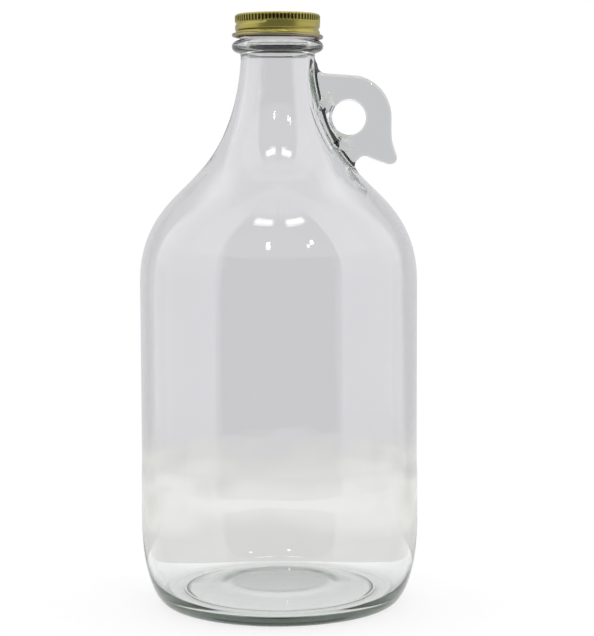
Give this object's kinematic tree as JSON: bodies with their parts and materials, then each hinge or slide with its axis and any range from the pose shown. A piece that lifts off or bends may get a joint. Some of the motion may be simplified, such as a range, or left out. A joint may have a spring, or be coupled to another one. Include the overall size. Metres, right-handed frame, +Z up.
{
  "type": "glass bottle",
  "caption": "Empty two-litre clear glass jug with sloping shoulders, a finger loop at the neck and a gold metal screw cap.",
  "frame": {"origin": "centre of the foot ring, on the surface the jug stands on", "axes": "+Z up along the jug's axis, +X towards the finger loop, -Y towards the viewer"},
  "size_m": [0.1286, 0.1286, 0.2722],
  "materials": {
    "glass": "smooth clear flint glass, faintly green where it is thick",
    "cap_metal": "thin steel sheet with a satin gold lacquer"
  },
  "bodies": {
    "root": {"bottle": "glass", "cap": "cap_metal"}
  },
  "joints": []
}
